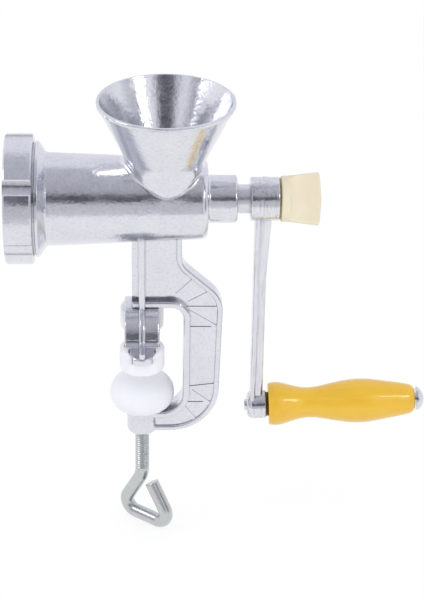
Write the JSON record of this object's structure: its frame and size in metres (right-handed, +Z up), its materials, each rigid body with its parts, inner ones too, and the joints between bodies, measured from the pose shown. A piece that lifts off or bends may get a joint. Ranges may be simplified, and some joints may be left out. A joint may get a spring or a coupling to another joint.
{
  "type": "hand crank meat grinder",
  "caption": "Table-clamped hand crank meat grinder: cast hopper and barrel on a ribbed C-frame, ring nut at the outlet, crank with wooden grip, padded clamp.",
  "frame": {"origin": "where the clamp screw's axis meets the plane of the table top, which is the underside of the two foot pads", "axes": "+Z up along the clamp screw, +X along the barrel from the outlet towards the crank, +Y across the barrel"},
  "size_m": [0.2531, 0.08, 0.2894],
  "materials": {
    "cast_aluminium": "polished die casting with a faint orange peel",
    "bronze": "turned",
    "steel": "ground",
    "bright_steel": "bright plated",
    "plain_washer": "dull, stained",
    "zinc_plated_steel": "zinc plated",
    "white_plastic": "moulded, satin",
    "cream_plastic": "moulded, satin",
    "lacquered_wood": "yellow gloss lacquer",
    "brass": "stamped, dull"
  },
  "bodies": {
    "frame": {"body_casting": "cast_aluminium", "rear_bush": "bronze", "thrust_washer": "bronze", "plate_key": "steel", "front_foot_pad": "white_plastic", "rear_foot_pad": "white_plastic"},
    "drive": {"feed_screw": "cast_aluminium", "knife_stud": "steel", "cross_knife": "steel", "crank_arm": "cast_aluminium", "handle_bolt": "bright_steel", "handle_washer": "plain_washer"},
    "grip": {"handle_grip": "lacquered_wood"},
    "plate": {"mincing_plate": "steel"},
    "ring": {"ring_nut": "cast_aluminium"},
    "thumb_washer": {"thumb_screw_washer": "brass"},
    "thumb_screw": {"thumb_screw_knob": "cream_plastic", "thumb_screw_stud": "steel"},
    "clamp_pad": {"clamp_disc": "white_plastic"},
    "clamp_screw": {"clamp_screw": "zinc_plated_steel", "disc_retainer": "steel"}
  },
  "joints": [
    {"name": "crank_turn", "type": "hinge", "parent": "frame", "child": "drive", "pos_m": [0, 0, 0.099], "axis": [1, 0, 0], "continuous": true},
    {"name": "grip_spin", "type": "hinge", "parent": "drive", "child": "grip", "pos_m": [0.0765, 0, -0.0422], "axis": [0.9993, 0, 0.0384], "continuous": true},
    {"name": "plate_slide", "type": "slide", "parent": "frame", "child": "plate", "axis": [-1, 0, 0], "range_m": [0, 0.012]},
    {"name": "ring_turn", "type": "hinge", "parent": "plate", "child": "ring", "pos_m": [-0.0706, 0, 0.099], "axis": [-1, 0, 0], "range_deg": [0, 1440]},
    {"name": "thumb_washer_slide", "type": "slide", "parent": "drive", "child": "thumb_washer", "axis": [1, 0, 0], "range_m": [0, 0.01]},
    {"name": "thumb_screw_turn", "type": "hinge", "parent": "thumb_washer", "child": "thumb_screw", "pos_m": [0.0811, 0, 0.099], "axis": [1, 0, 0], "range_deg": [0, 2880]},
    {"name": "clamp_pad_slide", "type": "slide", "parent": "frame", "child": "clamp_pad", "axis": [0, 0, 1], "range_m": [0, 0.021]},
    {"name": "clamp_screw_turn", "type": "hinge", "parent": "clamp_pad", "child": "clamp_screw", "pos_m": [0, 0, -0.05], "axis": [0, 0, 1], "range_deg": [0, 5040]}
  ],
  "couplings": [
    {"joint": "ring_turn", "follows": "plate_slide", "rad_per_m": 2094.4},
    {"joint": "thumb_screw_turn", "follows": "thumb_washer_slide", "rad_per_m": 5026.5},
    {"joint": "clamp_screw_turn", "follows": "clamp_pad_slide", "rad_per_m": 4188.8}
  ]
}
